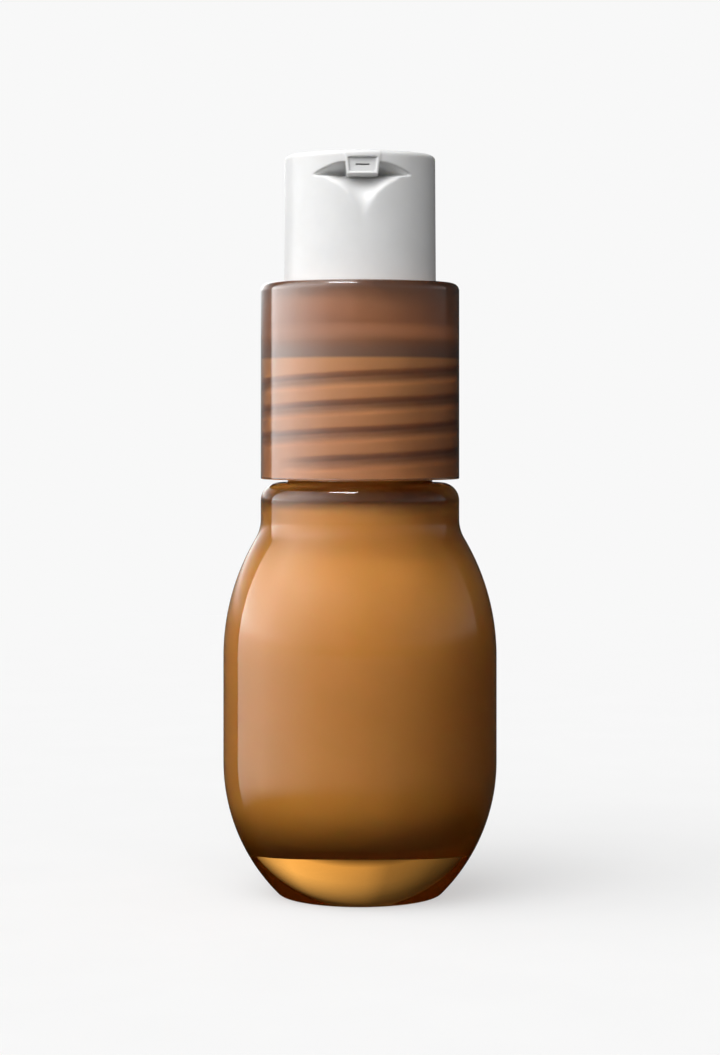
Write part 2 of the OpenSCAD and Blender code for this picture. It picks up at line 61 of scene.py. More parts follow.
# Glass outside, as in the part's source
BODY_R, DRUM_R = 16.1, 11.7
FOOT_IN, FOOT_MID, FOOT_EDGE = 7.2, 8.2, 0.25
PUSH_UP, PUSH_MID = 0.8, (4.0, 0.5)
HEEL_C, HEEL_R, HEEL_TOP = 9.1170, 0.9, 0.2653
BASE_Z, BASE_ARC = 15.64, 21.8
SHOULDER_Z, SHOULDER_ARC = 28.04, 27.1
HOLLOW_C, HOLLOW_R, HOLLOW_Z = 16.2, 4.5, 44.1248
DRUM_EDGE_Z, DRUM_EDGE, DRUM_TOP = 46.3248, 2.1, 48.4248
NECK_R, NECK_FILLET, NECK_FLAT, LIP_Z, LIP_EDGE = 8.5, 0.3, 0.7, 63.2248, 0.5
BASE_C = BODY_R - BASE_ARC
SHOULDER_C = BODY_R - SHOULDER_ARC
HOLLOW_ANGLE = math.degrees(math.atan2(HOLLOW_Z - SHOULDER_Z, HOLLOW_C - SHOULDER_C))

# Glass inside
BORE_R, BORE_EDGE, BORE_START = 6.3, 0.3, 1.0
WALL, GLASS_BASE, CORNER_R = 3.3, 7.4, 5.5
INNER_DRUM_R, INNER_DRUM_EDGE, INNER_DRUM_TOP = 8.4, 1.6, 46.2248
CORNER_Z = GLASS_BASE + CORNER_R
CORNER_C = BASE_C + math.sqrt((BASE_ARC - WALL - CORNER_R) ** 2 - (CORNER_Z - BASE_Z) ** 2)
CORNER_ANGLE = math.degrees(math.atan2(CORNER_Z - BASE_Z, CORNER_C - BASE_C))
BASE_MID = 0.6

# Threads of neck and closure, whose ridges run apart by THREAD_APART
PITCH, FRONT_Z, THREAD_APART, THREAD_FADE = 3.175, 51.0248, 1.1, 40
NECK_DEPTH, CLOSURE_RELIEF = 1.2, 0.65
NECK_THREAD = {"front_z": FRONT_Z + THREAD_APART, "start_z": 51.9998, "turns": 3,
               "root_half": 0.75, "crest_half": 0.35}
CLOSURE_THREAD = {"front_z": FRONT_Z, "start_z": 50.4748, "turns": 3.5, "root_half": 1.0, "crest_half": 0.2}

# Closure with its well and web
CLOSURE_Z, CLOSURE_TOP, CLOSURE_EDGE, CLOSURE_BORE = 48.8748, 71.8648, 0.85, 10.0
RIM_OUT, RIM_IN, RIM_FLAT, BORE_FLAT, TOP_FLAT = 0.12, 0.15, 0.5, 0.4, 0.2
WELL_R, WELL_CHAMFER, WELL_SOFT, WELL_FLAT = 9.25, 0.3, 0.1, 0.8
WELL_MOUTH = (WELL_R + WELL_CHAMFER, CLOSURE_TOP)
WELL_LIP = (WELL_R, CLOSURE_TOP - WELL_CHAMFER)
WEB_Z, WEB_TOP, WEB_HOLE, WEB_MID = 65.1448, 66.3448, 4.68, 7.0
WEB_SOFT, WEB_GAP, WEB_FLAT = 0.15, 0.03, 0.3
FLARE_OVER, FLARE_UNDER, FLARE_STEPS = 0.7, 0.2, 10

# Press cap
CAP_Z, CAP_TOP, CAP_R, CAP_TOP_R = 70.6648, 86.8648, 8.95, 8.86
CAP_WALL, CAP_ROOF, CAP_EDGE, CAP_INNER_LEAST = 0.85, 85.9648, 0.5, 2.3
SCOOP_Y, SCOOP_Z, SCOOP_R, SCOOP_ARC, SCOOP_CUT = 10.41, 79.5338, 6.2, 4.6, 84.0838
DOME_Z, DOME_R = 73.1648, 12.6
SPOUT_Z, SPOUT_H, SPOUT_LOW, SPOUT_TOP, SPOUT_PROUD = 83.9148, 2.95, 3.6, 4.4, 0.1
MOUTH_Z, MOUTH_H, MOUTH_LOW, MOUTH_TOP, MOUTH_DEEP = 84.3648, 1.6, 3.0, 3.3, 0.55
CHANNEL_GAP, CHANNEL_FRONT, CHANNEL_END = 0.01, 0.40, 2.0
# Steps inwards and up that round the cap's lower rim
CAP_RIM = ((0.65, 0.02), (0.53, 0.0), (0.20, 0.0), (0.09, 0.03), (0.02, 0.10))
# Rows of the cap's outside: from, to and number on the plain skirt, from, to and step over the scoop, two
# below the spout, and from, to and step beside their edges on the mouth and above it
SKIRT_ROWS, SCOOP_ROWS, BELOW_SPOUT = (CAP_Z + 0.25, 79.2, 10), (79.35, 83.80, 0.12), (83.84, 83.88)
MOUTH_ROWS, HIGH_ROWS, ROW_PAIR = (0.07, 0.04, 0.05), (0.08, 0.03, 0.06), 0.02
# Columns of half a row: how many on the mouth, beside it on the spout, up to COLUMNS_NEAR and behind it
COLUMNS, COLUMNS_APART, COLUMNS_NEAR = (14, 7, 44, 34), 0.03, 6.4
# Radii of the rows on the flat top, as shares, and of those in the middle of the roof inside
TOP_SHARES, TOP_FADE_SHARE = (0.985, 0.93, 0.8, 0.6, 0.4, 0.2, 0.07), 0.9
ROOF_RADII = (0.4, 1.2, 2.0)
# Rows of the cap's inside: from, to and number behind the scoop and below it
BACK_ROWS, LOW_ROWS, BACK_END = (CAP_ROOF, 79.5, 28), (79.0, CAP_Z + 0.3, 6), 0.05
# Softening of the scoop and the spout: rows left out below and taken in above, degrees to either side, and
# how far from the spout the further passes stay
SOFT_AFTER, SOFT_PAST, SOFT_DEGREES, SOFT_BESIDE, SOFT_BELOW = 8, 9, 48, 0.35, 0.3
SOFT_PASSES, SOFT_EVERYWHERE, SOFT_PULL = 14, 5, 0.55
# Edges of the cap that are steeper than this stay sharp
SHARP_DEGREES = 50

# Spring, and what the lotion goes round: housing, barrel, the socket of the dip tube and the tube
SPRING_Z, SPRING_H, SPRING_R, WIRE_R, SPRING_TURNS, SPRING_END_SHARE = 44.5048, 10.4, 2.2, 0.3, 7, 0.35
HOUSING_R, BARREL_R, BARREL_Z, TUBE_R = 4.9, 5.5, 60.7248, 1.5
SOCKET_R, SOCKET_Z, SOCKET_CONE = 2.65, 34.4, 0.9
TUBE_SHOWN_Z, TUBE_END = 34.2, GLASS_BASE + 0.7
# The lotion's level, how far it dips at the bore, between bore and barrel and at the barrel, and how far it
# reaches into its neighbours so that no air lies between
FILL_Z, BORE_DIP, MIDDLE_DIP, BARREL_DIP, TOUCH = 62.4, 0.15, 0.2, 0.1, 0.03

# Faces round the axis, and lengths that count as none
SIDES, LOTION_SIDES, WEB_SIDES = 224, 160, 128
SAME_POINT, ON_AXIS = 1e-4, 1e-6

# The studio's light: for each height of a direction (its Z), the level at these azimuths. Azimuth 0 is the
# camera's side and -90 the left. First what comes in through glass and resin, and what is seen through them.
THROUGH_AZ = (-180, -172, -150, -115, -92, -48, 2, 60, 130, 150, 180)
THROUGH = (
    (-0.92, (0, 0, 0, 0, 0, 0, 0, 0, 0, 0, 0)),
    (-0.60, (0.6, 0.7, 1.0, 0, 0, 0, 0, 0, 0, 0.2, 0.6)),
    (-0.32, (0, 0, 0, 0, 0, 0, 0, 0, 0, 0, 0)),
    (-0.12, (0, 0, 0, 0, 0, 1.5, 0, 0, 0, 0, 0)),
    (0.03, (0, 0, 0, 0, 0, 0.5, 0, 0, 0, 0, 0)),
    (0.28, (0, 0, 0, 0, 0, 2.0, 0, 0, 0, 0, 0)),
    (0.34, (1.1, 0.6, 0.32, 0.03, 0, 2.0, 0, 0, 1.2, 2.0, 1.1)),
    (0.46, (0.9, 0.5, 0.20, 0.03, 0, 2.4, 0, 0, 1.2, 1.9, 0.9)),
    (0.62, (0.4, 0.2, 0.1, 0.02, 0.4, 9.2, 0.1, 0, 0.5, 0.8, 0.4)),
    (0.74, (0.1, 0.1, 0.1, 0.2, 0.8, 18.8, 1.0, 0, 0, 0.1, 0.1)),
    (0.95, (0.3, 0.3, 0.5, 1.5, 3.0, 6.0, 4.4, 0.2, 0, 0, 0.2)))
# What polished faces mirror: a tall soft box on the left with one hard edge.
MIRRORED_AZ = (-180, -126.5, -126, -92, -61, -35, 0, 64, 116, 116.5, 180)
MIRRORED = (
    (-0.34, (0, 0, 0.02, 0.02, 0.02, 0.02, 0.02, 0.02, 0, 0, 0)),
    (-0.22, (0, 0.05, 1.3, 1.9, 1.2, 0.5, 0.3, 0.08, 0.03, 0.02, 0.02)),
    (-0.03, (0.1, 0.1, 1.8, 2.8, 1.8, 0.9, 0.5, 0.12, 0.04, 0.02, 0.02)),
    (0.03, (0.4, 0.1, 2.6, 2.8, 1.6, 0.5, 0.15, 0.08, 0.05, 0.02, 0.02)),
    (0.10, (2.6, 0.4, 4.9, 4.2, 2.1, 0.9, 0.3, 0.45, 0.5, 0.06, 0.04)),
    (0.50, (0, 0.05, 0.8, 4.0, 3.2, 1.6, 0.5, 0.2, 0.04, 0.02, 0)),
    (0.85, (0.3, 0.8, 1.6, 1.6, 1.2, 0.7, 0.3, 0.15, 0.05, 0.05, 0.05)))
# What falls on all other faces: levels from the sides, another from above PLAIN_OVER, a share of both from
# below PLAIN_UNDER, and a soft round light.
PLAIN_AZ = (-180, -130, -120, -82, -60, -40, -10, 30, 60, 120, 180)
PLAIN = (0.2, 0.4, 0.8, 0.8, 0.7, 0.6, 0.5, 0.34, 0.28, 0.22, 0.2)
PLAIN_TOP, PLAIN_OVER = 0.25, (0.72, 0.90)
PLAIN_LOW_SHARE, PLAIN_UNDER = 0.05, (-0.6, -0.15)
KEY_AZ, KEY_EL, KEY_LEVEL, KEY_POWER = -42.0, 50.0, 4.0, 6
# What the camera sees behind the object, and the level that white stands for in a ring of light
BACKDROP, TOP_LEVEL = 0.939, 20.0

# Floor: its two greys, what it gives back to other faces, and its rings
FLOOR_LOW, FLOOR_HIGH, FLOOR_BOUNCE = (0.83,) * 3, (0.85,) * 3, (0.06,) * 3
FLOOR_RINGS, FLOOR_SIDES = (50, 100, 200, 400, 800, 1600, 4000, 12000), 96
# Camera, and the height that the lamp looks at
CAMERA_AWAY, CAMERA_UP, CAMERA_TURN = 312.7, 55.8, 2.0
LENS, SENSOR, LENS_SHIFT = 90.43, 36, -0.1019
LAMP_AIM = Vector((0, 0, 45 * MM))


# Mesh helpers
def arc(cx, cz, r, a0, a1, step=3.0):
    """Points on an arc of an outline, angles in degrees from +R towards +Z, ends included."""
    n = max(2, int(math.ceil(abs(a1 - a0) / step)))
    angles = [math.radians(a0 + (a1 - a0) * i / n) for i in range(n + 1)]
    return [(cx + r * math.cos(a), cz + r * math.sin(a)) for a in angles]


def line(p, q, longest):
    """Points between two points, both ends included, no further apart than longest."""
    n = max(1, int(math.ceil(math.dist(p, q) / longest)))
    return [(p[0] + (q[0] - p[0]) * i / n, p[1] + (q[1] - p[1]) * i / n) for i in range(n + 1)]


def corner(before, at, after, r, steps=5):
    """A rounded corner of an outline, with a close point on either side to keep the flats flat."""
    close_share = 0.3
    back = (Vector(before) - Vector(at)).normalized()
    ahead = (Vector(after) - Vector(at)).normalized()
    half = back.angle(ahead) / 2
    centre = Vector(at) + (back + ahead).normalized() * (r / math.sin(half))
    start = Vector(at) + back * (r / math.tan(half))
    end = Vector(at) + ahead * (r / math.tan(half))
    spoke = start - centre
    turn = spoke.angle_signed(end - centre)
    points = [tuple(start + back * r * close_share)]
    for i in range(steps + 1):
        c, s = math.cos(-turn * i / steps), math.sin(-turn * i / steps)
        points.append((centre.x + spoke.x * c - spoke.y * s, centre.y + spoke.x * s + spoke.y * c))
    points.append(tuple(end + ahead * r * close_share))
    return points


def clean(points):
    """Drops points that repeat the one before."""
    out = []
    for p in points:
        if not out or math.dist(p, out[-1]) > SAME_POINT:
            out.append(p)
    return out


def bridge(a, b, n):
    """Faces between two closed rows of n points, which start at a and b."""
    return [(a + k, a + (k + 1) % n, b + (k + 1) % n, b + k) for k in range(n)]


def fan(a, pole, n):
    """Faces between a closed row of n points, which starts at a, and a pole."""
    return [(a + k, a + (k + 1) % n, pole) for k in range(n)]


def turned_round(faces):
    """The same faces seen from their other side, each with the same first point."""
    return [(face[0], *reversed(face[1:])) for face in faces]


def mesh_object(name, verts, faces):
    """A smooth mesh from points in millimetres."""
    mesh = bpy.data.meshes.new(name)
    mesh.from_pydata([(x * MM, y * MM, z * MM) for x, y, z in verts], [], faces)
    mesh.validate()
    mesh.update()
    mesh.polygons.foreach_set("use_smooth", [True] * len(mesh.polygons))
    o = bpy.data.objects.new(name, mesh)
    bpy.context.scene.collection.objects.link(o)
    return o


def lathe(name, outline, sides, relief=None, closed=False, inner=None):
    """Turns an outline round Z. Points on the axis become poles. relief(angles, z, row) is added to the radii
    of a row, and the faces that start at the rows of inner get the second material."""
    angles = np.linspace(0, 2 * math.pi, sides, endpoint=False)
    verts, starts, poles = [], [], set()
    for row, (r, z) in enumerate(outline):
        starts.append(len(verts))
        if r < ON_AXIS:
            poles.add(row)
            verts.append((0.0, 0.0, z))
            continue
        radii = np.full(sides, float(r))
        if relief:
            radii = radii + relief(angles, z, row)
        verts += list(zip(radii * np.cos(angles), radii * np.sin(angles), np.full(sides, float(z))))
    faces, slots = [], []
    for a, b in enumerate(list(range(1, len(outline))) + [0] * closed):
        if a in poles:
            made = turned_round(fan(starts[b], starts[a], sides))
        elif b in poles:
            made = fan(starts[a], starts[b], sides)
        else:
            made = bridge(starts[a], starts[b], sides)
        faces += made
        slots += [int(inner is not None and a in inner)] * len(made)
    o = mesh_object(name, verts, faces)
    if inner is not None:
        o.data.polygons.foreach_set("material_index", slots)
    return o


def ridge(angles, z, front_z, start_z, turns, root_half, crest_half):
    """Height of a right-handed screw ridge at a height, as a share of its depth, for each angle. The ridge
    passes the front at front_z, starts at start_z and fades at both ends."""
    whole = 360.0 * turns
    start = -90 + 360 * (start_z - front_z) / PITCH
    along = (np.degrees(angles) - start) % 360
    out = np.zeros_like(angles)
    for k in range(int(turns) + 2):
        turned = along + 360 * k
        here = (turned >= 0) & (turned <= whole)
        off = np.abs(z - (start_z + PITCH * turned / 360))
        flank = np.clip((root_half - off) / (root_half - crest_half), 0, 1)
        fade = np.clip(np.minimum(turned, whole - turned) / THREAD_FADE, 0, 1)
        out = np.maximum(out, np.where(here, flank * flank * (3 - 2 * flank) * fade, 0))
    return out


def thread(rows, depth, sizes):
    """A relief for the lathe: a screw ridge of some depth on these rows."""
    def relief(angles, z, row):
        return depth * ridge(angles, z, **sizes) if row in rows else 0

    return relief


# Node helpers
def feed(socket, value):
    """Gives an input a plain value, or links an output to it."""
    if isinstance(value, bpy.types.NodeSocket):
        socket.id_data.links.new(value, socket)
    else:
        socket.default_value = value


def put(node, values):
    """Feeds the inputs of a node by their names."""
    for name, value in values.items():
        feed(node.inputs[name], value)


def maths(tree, how, a, b):
    """Sum, product or the like of two numbers."""
    node = tree.nodes.new("ShaderNodeMath")
    node.operation = how
    feed(node.inputs[0], a)
    feed(node.inputs[1], b)
    return node.outputs["Value"]


def blend(tree, share, a, b):
    """Number a where the share is 0 and b where it is 1."""
    node = tree.nodes.new("ShaderNodeMix")
    put(node, {"Factor": share, "A": a, "B": b})
    return node.outputs["Result"]


def blend_colours(tree, how, share, a, b):
    """Colours a and b, mixed or multiplied."""
    node = tree.nodes.new("ShaderNodeMix")
    node.data_type = "RGBA"
    node.blend_type = how
    put(node, {"Factor": share, "A": a, "B": b})
    return node.outputs["Result"]


def blend_shaders(tree, share, a, b):
    """Shader a where the share is 0 and b where it is 1."""
    node = tree.nodes.new("ShaderNodeMixShader")
    for socket, value in zip(node.inputs, (share, a, b)):
        feed(socket, value)
    return node.outputs["Shader"]


def length(tree, vector):
    """Length of a vector."""
    node = tree.nodes.new("ShaderNodeVectorMath")
    node.operation = "LENGTH"
    feed(node.inputs[0], vector)
    return node.outputs["Value"]


def split(tree, vector):
    """X, Y and Z of a vector."""
    node = tree.nodes.new("ShaderNodeSeparateXYZ")
    put(node, {"Vector": vector})
    return node.outputs["X"], node.outputs["Y"], node.outputs["Z"]


def noise(tree, scale, detail=3.0, roughness=0.5, stretch=(1, 1, 1)):
    """Noise in object space, with the scale in cycles per metre."""
    place = tree.nodes.new("ShaderNodeTexCoord")
    mapping = tree.nodes.new("ShaderNodeMapping")
    put(mapping, {"Vector": place.outputs["Object"], "Scale": stretch})
    texture = tree.nodes.new("ShaderNodeTexNoise")
    put(texture, {"Vector": mapping.outputs["Vector"], "Scale": scale, "Detail": detail,
                  "Roughness": roughness})
    return texture.outputs["Fac"]


def spread(tree, source, low, high, start=0.3, end=0.7):
    """A number that goes from low to high while the source goes from start to end."""
    node = tree.nodes.new("ShaderNodeMapRange")
    put(node, {"Value": source, "From Min": start, "From Max": end, "To Min": low, "To Max": high})
    return node.outputs["Result"]


def ramp(tree, source, stops):
    """A colour that follows the source along stops of a place and a colour."""
    node = tree.nodes.new("ShaderNodeValToRGB")
    elements = node.color_ramp.elements
    while len(elements) < len(stops):
        elements.new(0.5)
    for element, (place, colour) in zip(elements, stops):
        element.position = place
        element.color = (*colour, 1)
    put(node, {"Fac": source})
    return node.outputs["Color"]


def tints(tree, source, a, b):
    """A colour between a and b that follows a texture."""
    return ramp(tree, source, ((0.35, a), (0.65, b)))


def bump(tree, shader, source, height):
    """Gives a shader's surface a relief of some height that follows a texture."""
    node = tree.nodes.new("ShaderNodeBump")
    put(node, {"Strength": 1.0, "Distance": height * MM, "Height": source})
    put(shader, {"Normal": node.outputs["Normal"]})


def material(name):
    """A material with its node tree, principled shader and output."""
    look = bpy.data.materials.new(name)
    look.use_nodes = True
    tree = look.node_tree
    tree.nodes.clear()
    out = tree.nodes.new("ShaderNodeOutputMaterial")
    shader = tree.nodes.new("ShaderNodeBsdfPrincipled")
    put(out, {"Surface": shader.outputs["BSDF"]})
    return look, tree, shader, out


# Materials
def clear_stuff(name, density, colour, roughness, wave_height, wave_scale, coat=0.0):
    """Glass or clear resin: absorbing inside, faintly wavy on its surface, perhaps with a polished coat."""
    look, tree, shader, out = material(name)
    fine = noise(tree, 900, 2)
    put(shader, {"Transmission Weight": 1.0, "IOR": 1.5, "Coat Weight": coat, "Coat Roughness": 0.015,
                 "Base Color": tints(tree, fine, (1.0, 0.995, 0.985), (1, 1, 1)),
                 "Roughness": spread(tree, fine, *roughness)})
    bump(tree, shader, noise(tree, wave_scale, 1.5, 0.4, (1, 1, 0.6)), wave_height)
    inside = tree.nodes.new("ShaderNodeVolumeAbsorption")
    put(inside, {"Color": (*colour, 1), "Density": density})
    put(out, {"Volume": inside.outputs["Volume"]})
    return look


def plastic(name, low, high, roughness, grain, shine=0.5, depth=0.0):
    """Moulded plastic: slightly cloudy in its colour, with a fine orange-peel surface."""
    look, tree, shader, out = material(name)
    peel = noise(tree, 1500, 2)
    put(shader, {"Base Color": tints(tree, noise(tree, 260), low, high),
                 "Roughness": spread(tree, peel, *roughness), "IOR": 1.49, "Specular IOR Level": shine,
                 "Subsurface Weight": depth, "Subsurface Radius": (1.0, 0.9, 0.75),
                 "Subsurface Scale": 1.2 * MM})
    bump(tree, shader, peel, grain)
    return look


def core_material():
    """The closure's inner face: light against the filled neck, grey at the gasket, with painted shade that
    darkens it where the thread's ridge stands in.
    """
    neck_low, neck_high = (0.74, 0.33, 0.105), (0.86, 0.45, 0.17)
    gasket_low, gasket_high = (0.31, 0.18, 0.11), (0.33, 0.18, 0.11)
    web_colour, well_colour = (0.42, 0.19, 0.08), (0.44, 0.21, 0.10)
    zones = ((CLOSURE_Z, neck_low), (62.85, neck_high), (63.15, gasket_low), (64.0, gasket_high),
             (65.1, web_colour), (CLOSURE_TOP, well_colour))
    stops = [((z - CLOSURE_Z) / (CLOSURE_TOP - CLOSURE_Z), colour) for z, colour in zones]
    groove_shade, groove_end, groove_gone = 0.60, 62.6, 63.1

    look, tree, shader, out = material("amber_resin_core")
    place = tree.nodes.new("ShaderNodeTexCoord")
    x, y, z = split(tree, place.outputs["Object"])
    flat = tree.nodes.new("ShaderNodeCombineXYZ")
    put(flat, {"X": x, "Y": y})
    away = length(tree, flat.outputs["Vector"])
    zone = ramp(tree, spread(tree, z, 0, 1, CLOSURE_Z * MM, CLOSURE_TOP * MM), stops)
    crest = CLOSURE_BORE - CLOSURE_RELIEF
    # Painted shade: the colour falls to groove_shade towards the ridge's crest, and this painted shade fades
    # out between groove_end and groove_gone.
    groove = spread(tree, away, groove_shade, 1, crest * MM, CLOSURE_BORE * MM)
    above = spread(tree, z, 0, 1, groove_end * MM, groove_gone * MM)
    cloud = noise(tree, 220)
    shade = maths(tree, "MULTIPLY", maths(tree, "MAXIMUM", groove, above), spread(tree, cloud, 0.95, 1.0))
    put(shader, {"Base Color": blend_colours(tree, "MULTIPLY", 1, zone, shade),
                 "Roughness": spread(tree, cloud, 0.45, 0.6), "IOR": 1.5})
    bump(tree, shader, cloud, 0.004)
    return look


def lotion_material():
    """A tinted cream that light enters a little way."""
    look, tree, shader, out = material("lotion")
    cloud = noise(tree, 120)
    put(shader, {"Base Color": tints(tree, cloud, (0.80, 0.43, 0.12), (0.84, 0.455, 0.14)),
                 "Roughness": spread(tree, cloud, 0.30, 0.42), "IOR": 1.5, "Specular IOR Level": 0.0,
                 "Subsurface Weight": 0.3, "Subsurface Radius": (1.0, 0.45, 0.2), "Subsurface Scale": 3 * MM})
    bump(tree, shader, cloud, 0.02)
    return look


def steel_material():
    """Drawn wire and ball steel, with a grain along Z."""
    look, tree, shader, out = material("spring_steel")
    drawn = noise(tree, 700, 3, 0.6, (1, 1, 6))
    put(shader, {"Base Color": tints(tree, drawn, (0.52, 0.53, 0.55), (0.68, 0.69, 0.71)),
                 "Roughness": spread(tree, drawn, 0.18, 0.32), "Metallic": 1.0})
    bump(tree, shader, drawn, 0.002)
    return look


GLASS = clear_stuff("amber_glass", 140, (0.86, 0.643, 0.193), (0.004, 0.012), 0.010, 95)
RESIN = clear_stuff("amber_resin", 110, (0.80, 0.45, 0.15), (0.15, 0.19), 0.004, 140, coat=1.0)
CORE = core_material()
SATIN = plastic("satin_white", (0.86, 0.86, 0.855), (0.89, 0.89, 0.885), (0.30, 0.38), 0.0015,
                shine=0.3, depth=0.12)
WHITE = plastic("white_plastic", (0.84, 0.84, 0.83), (0.88, 0.88, 0.87), (0.38, 0.5), 0.002, depth=0.1)
NATURAL = plastic("natural_plastic", (0.74, 0.74, 0.70), (0.80, 0.80, 0.77), (0.35, 0.5), 0.002, depth=0.25)
FOAM = plastic("gasket_foam", (0.20, 0.20, 0.19), (0.27, 0.27, 0.26), (0.75, 0.9), 0.02)
LOTION = lotion_material()
STEEL = steel_material()


# Glass and lotion
def glass_outside():
    """Outline of the glass from the middle of its foot up to the start of the neck."""
    push_r = (FOOT_IN ** 2 + PUSH_UP ** 2) / (2 * PUSH_UP)
    push_angle = math.degrees(math.asin(FOOT_IN / push_r))
    heel_drop = HEEL_TOP - HEEL_R
    heel_angle = math.degrees(math.atan2(heel_drop, math.sqrt(HEEL_R ** 2 - heel_drop ** 2)))
    base_angle = -math.degrees(math.asin((BASE_Z - HEEL_TOP) / BASE_ARC))
    points = [(0.0, PUSH_UP)]
    points += arc(0, PUSH_UP - push_r, push_r, 90, 90 - push_angle, 1.5)[1:-1]
    points += corner(PUSH_MID, (FOOT_IN, 0.0), (HEEL_C, 0.0), FOOT_EDGE)
    points += [(FOOT_MID, 0.0)]
    points += arc(HEEL_C, HEEL_R, HEEL_R, -90, heel_angle, 6)
    points += arc(BASE_C, BASE_Z, BASE_ARC, base_angle, 0, 1.2)
    points += line((BODY_R, BASE_Z), (BODY_R, SHOULDER_Z), 1.2)
    points += arc(SHOULDER_C, SHOULDER_Z, SHOULDER_ARC, 0, HOLLOW_ANGLE, 1.2)
    points += arc(HOLLOW_C, HOLLOW_Z, HOLLOW_R, 180 + HOLLOW_ANGLE, 180, 3)
    points += line((DRUM_R, HOLLOW_Z), (DRUM_R, DRUM_EDGE_Z), 0.5)
    points += arc(DRUM_R - DRUM_EDGE, DRUM_EDGE_Z, DRUM_EDGE, 0, 90, 5)
    points += [(NECK_R + NECK_FLAT, DRUM_TOP)]
    points += corner((DRUM_R, DRUM_TOP), (NECK_R, DRUM_TOP), (NECK_R, LIP_Z), NECK_FILLET)[1:]
    return clean(points)


def glass_inside(grow=0.0):
    """Outline of the hollow, made wider by grow, from the middle of its bottom up to the bore of the neck."""
    bottom, side = GLASS_BASE - grow, BODY_R - WALL + grow
    edge_c, edge_z = INNER_DRUM_R - INNER_DRUM_EDGE, INNER_DRUM_TOP - INNER_DRUM_EDGE
    points = [(0.0, bottom)]
    points += line((BASE_MID, bottom), (CORNER_C, bottom), 1.5)
    points += arc(CORNER_C, CORNER_Z, CORNER_R + grow, -90, CORNER_ANGLE, 6)
    points += arc(BASE_C, BASE_Z, BASE_ARC - WALL + grow, CORNER_ANGLE, 0, 1.5)
    points += line((side, BASE_Z), (side, SHOULDER_Z), 1.5)
    points += arc(SHOULDER_C, SHOULDER_Z, SHOULDER_ARC - WALL + grow, 0, HOLLOW_ANGLE, 1.5)
    points += arc(HOLLOW_C, HOLLOW_Z, HOLLOW_R + WALL - grow, 180 + HOLLOW_ANGLE, 180, 3)
    points += arc(edge_c, edge_z, INNER_DRUM_EDGE + grow, 0, 90, 6)
    return points


def bottle():
    """The thick glass, with three turns of thread on its neck."""
    outside = glass_outside()
    neck = line((NECK_R, DRUM_TOP + 2 * NECK_FILLET), (NECK_R, LIP_Z - LIP_EDGE), 0.1)
    lip = arc(NECK_R - LIP_EDGE, LIP_Z - LIP_EDGE, LIP_EDGE, 0, 90, 15)
    lip += corner((NECK_R, LIP_Z), (BORE_R, LIP_Z), (BORE_R, INNER_DRUM_TOP), BORE_EDGE)
    bore = line((BORE_R, LIP_Z - BORE_START), (BORE_R, INNER_DRUM_TOP), 1.0)
    outline = clean(outside + neck + lip + bore + glass_inside()[::-1])
    rows = range(len(outside), len(clean(outside + neck)))
    o = lathe("bottle_glass", outline, SIDES, thread(rows, NECK_DEPTH, NECK_THREAD))
    o.data.materials.append(GLASS)
    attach(o, "bottle_body")
    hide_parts("bottle")


def lotion():
    """Fills the glass up to FILL_Z in full contact with the wall, round the dip tube and the pump."""
    bore, barrel, housing = BORE_R + TOUCH, BARREL_R + TOUCH, HOUSING_R + TOUCH
    socket, tube = SOCKET_R + TOUCH, TUBE_R + TOUCH
    body = glass_inside(TOUCH)
    body += line((bore, INNER_DRUM_TOP + TOUCH), (bore, FILL_Z), 1.0)
    body += [(BORE_R - BORE_DIP, FILL_Z - BORE_DIP), (BARREL_R + MIDDLE_DIP, FILL_Z - MIDDLE_DIP)]
    body += [(barrel, FILL_Z - BARREL_DIP), (barrel, BARREL_Z), (housing, BARREL_Z), (housing, SPRING_Z)]
    body += [(socket, SPRING_Z - SOCKET_CONE), (socket, SOCKET_Z), (tube, TUBE_SHOWN_Z)]
    body += [(tube, TUBE_END), (0.0, TUBE_END)]
    o = lathe("lotion_fill", clean(body), LOTION_SIDES)
    o.data.materials.append(LOTION)
    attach(o, "bottle_body")


# Closure
def flare():
    """A smooth step from the well's wall out to the bore at the web, from the top down."""
    top, bottom = WEB_TOP + FLARE_OVER, WEB_Z - FLARE_UNDER
    points = []
    for k in range(FLARE_STEPS):
        across = (1 - math.cos(math.pi * k / FLARE_STEPS)) / 2
        points.append((WELL_R + (CLOSURE_BORE - WELL_R) * across, top + (bottom - top) * k / FLARE_STEPS))
    return points


def closure_outside():
    """Outline of the closure from its lower rim up to the mouth of the well."""
    edge_c, edge_z = DRUM_R - CLOSURE_EDGE, CLOSURE_TOP - CLOSURE_EDGE
    points = corner((CLOSURE_BORE, CLOSURE_Z), (DRUM_R, CLOSURE_Z), (DRUM_R, CLOSURE_TOP), RIM_OUT)
    points += line((DRUM_R, CLOSURE_Z + RIM_FLAT), (DRUM_R, edge_z - TOP_FLAT), 1.5)
    points += arc(edge_c, edge_z, CLOSURE_EDGE, 0, 90, 9)
    points += [(edge_c - TOP_FLAT, CLOSURE_TOP)]
    points += corner((DRUM_R, CLOSURE_TOP), WELL_MOUTH, WELL_LIP, WELL_SOFT, 3)
    return clean(points)


